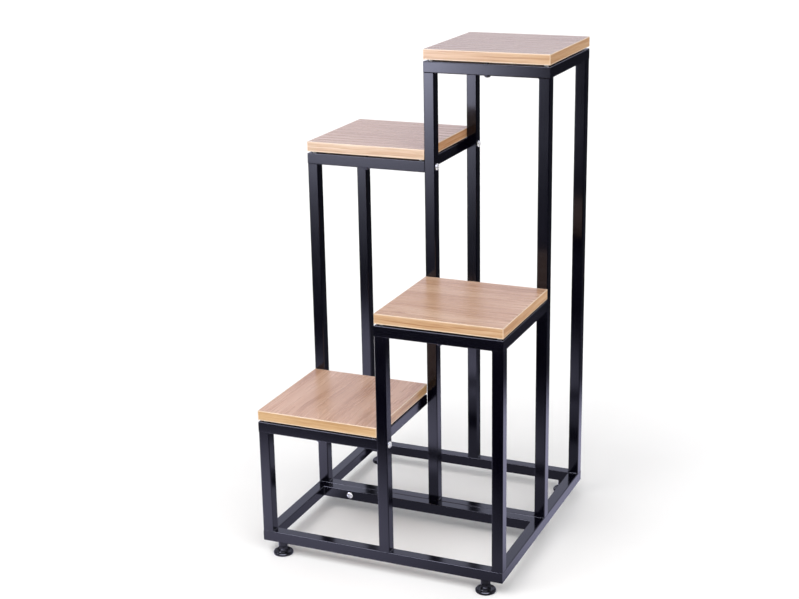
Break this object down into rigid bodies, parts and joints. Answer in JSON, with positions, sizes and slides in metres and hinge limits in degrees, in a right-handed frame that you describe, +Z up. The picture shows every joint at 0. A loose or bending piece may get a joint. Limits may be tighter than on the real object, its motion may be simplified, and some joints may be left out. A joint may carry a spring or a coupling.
{
  "type": "plant stand",
  "caption": "Free-standing tiered plant stand: square-tube steel towers of stepped heights in a square block, laminated wood-look boards, levelling feet.",
  "frame": {"origin": "centre of the footprint on the floor, under the feet", "axes": "+Z up, the longest extent; +X to the right seen from the front, where the two lowest levels are; +Y to the back"},
  "size_m": [0.46, 0.476, 0.893],
  "materials": {
    "powder_coat": "satin powder coat, blue-black",
    "board_laminate": "satin wood-print laminate on particle board",
    "edge_band": "satin wood-print edge band",
    "clear_bumper": "clear soft plastic",
    "black_screw": "glossy black coating on a steel screw",
    "zinc_steel": "bright zinc plate",
    "foot_plastic": "glossy moulded plastic"
  },
  "bodies": {
    "stand": {"base_front_frame_back_rail": "powder_coat", "base_front_frame_front_rail": "powder_coat", "base_front_frame_left_rail": "powder_coat", "base_front_frame_right_rail": "powder_coat", "base_rear_frame_back_rail": "powder_coat", "base_rear_frame_front_rail": "powder_coat", "base_rear_frame_left_rail": "powder_coat", "base_rear_frame_right_rail": "powder_coat", "foot_weld_nuts": "zinc_steel", "frame_bolts": "zinc_steel", "frame_weld_nuts": "zinc_steel", "lower_leg_front_left": "powder_coat", "lower_ring_back_rail": "powder_coat", "lower_ring_front_rail": "powder_coat", "lower_ring_left_rail": "powder_coat", "lower_ring_right_rail": "powder_coat", "lower_shelf_board": "board_laminate", "lower_shelf_edging": "edge_band", "middle_leg_front_left": "powder_coat", "middle_leg_front_right": "powder_coat", "middle_ring_back_rail": "powder_coat", "middle_ring_front_rail": "powder_coat", "middle_ring_left_rail": "powder_coat", "middle_ring_right_rail": "powder_coat", "middle_shelf_board": "board_laminate", "middle_shelf_edging": "edge_band", "shelf_bumpers": "clear_bumper", "shelf_screws": "black_screw", "top_leg_back_left": "powder_coat", "top_leg_back_right": "powder_coat", "top_leg_front_left": "powder_coat", "top_leg_front_right": "powder_coat", "top_ring_back_rail": "powder_coat", "top_ring_front_rail": "powder_coat", "top_ring_left_rail": "powder_coat", "top_ring_right_rail": "powder_coat", "top_shelf_board": "board_laminate", "top_shelf_edging": "edge_band", "upper_leg_back_left": "powder_coat", "upper_leg_front_left": "powder_coat", "upper_ring_back_rail": "powder_coat", "upper_ring_front_rail": "powder_coat", "upper_ring_left_rail": "powder_coat", "upper_ring_right_rail": "powder_coat", "upper_shelf_board": "board_laminate", "upper_shelf_edging": "edge_band"},
    "foot_front_left_pad": {"foot_front_left_pad": "foot_plastic"},
    "foot_front_left_stem": {"foot_front_left_stud": "zinc_steel", "foot_front_left_neck": "foot_plastic"},
    "foot_front_right_pad": {"foot_front_right_pad": "foot_plastic"},
    "foot_front_right_stem": {"foot_front_right_stud": "zinc_steel", "foot_front_right_neck": "foot_plastic"},
    "foot_back_left_pad": {"foot_back_left_pad": "foot_plastic"},
    "foot_back_left_stem": {"foot_back_left_stud": "zinc_steel", "foot_back_left_neck": "foot_plastic"},
    "foot_back_right_pad": {"foot_back_right_pad": "foot_plastic"},
    "foot_back_right_stem": {"foot_back_right_stud": "zinc_steel", "foot_back_right_neck": "foot_plastic"}
  },
  "joints": [
    {"name": "foot_front_left_height", "type": "slide", "parent": "stand", "child": "foot_front_left_pad", "axis": [0, 0, -1], "range_m": [0, 0.012]},
    {"name": "foot_front_left_turn", "type": "hinge", "parent": "foot_front_left_pad", "child": "foot_front_left_stem", "pos_m": [-0.196, -0.22, 0], "axis": [0, 0, -1], "range_deg": [0, 3456]},
    {"name": "foot_front_right_height", "type": "slide", "parent": "stand", "child": "foot_front_right_pad", "axis": [0, 0, -1], "range_m": [0, 0.012]},
    {"name": "foot_front_right_turn", "type": "hinge", "parent": "foot_front_right_pad", "child": "foot_front_right_stem", "pos_m": [0.196, -0.22, 0], "axis": [0, 0, -1], "range_deg": [0, 3456]},
    {"name": "foot_back_left_height", "type": "slide", "parent": "stand", "child": "foot_back_left_pad", "axis": [0, 0, -1], "range_m": [0, 0.012]},
    {"name": "foot_back_left_turn", "type": "hinge", "parent": "foot_back_left_pad", "child": "foot_back_left_stem", "pos_m": [-0.196, 0.22, 0], "axis": [0, 0, -1], "range_deg": [0, 3456]},
    {"name": "foot_back_right_height", "type": "slide", "parent": "stand", "child": "foot_back_right_pad", "axis": [0, 0, -1], "range_m": [0, 0.012]},
    {"name": "foot_back_right_turn", "type": "hinge", "parent": "foot_back_right_pad", "child": "foot_back_right_stem", "pos_m": [0.196, 0.22, 0], "axis": [0, 0, -1], "range_deg": [0, 3456]}
  ],
  "couplings": [
    {"joint": "foot_front_left_turn", "follows": "foot_front_left_height", "rad_per_m": 5026.5},
    {"joint": "foot_front_right_turn", "follows": "foot_front_right_height", "rad_per_m": 5026.5},
    {"joint": "foot_back_left_turn", "follows": "foot_back_left_height", "rad_per_m": 5026.5},
    {"joint": "foot_back_right_turn", "follows": "foot_back_right_height", "rad_per_m": 5026.5}
  ]
}
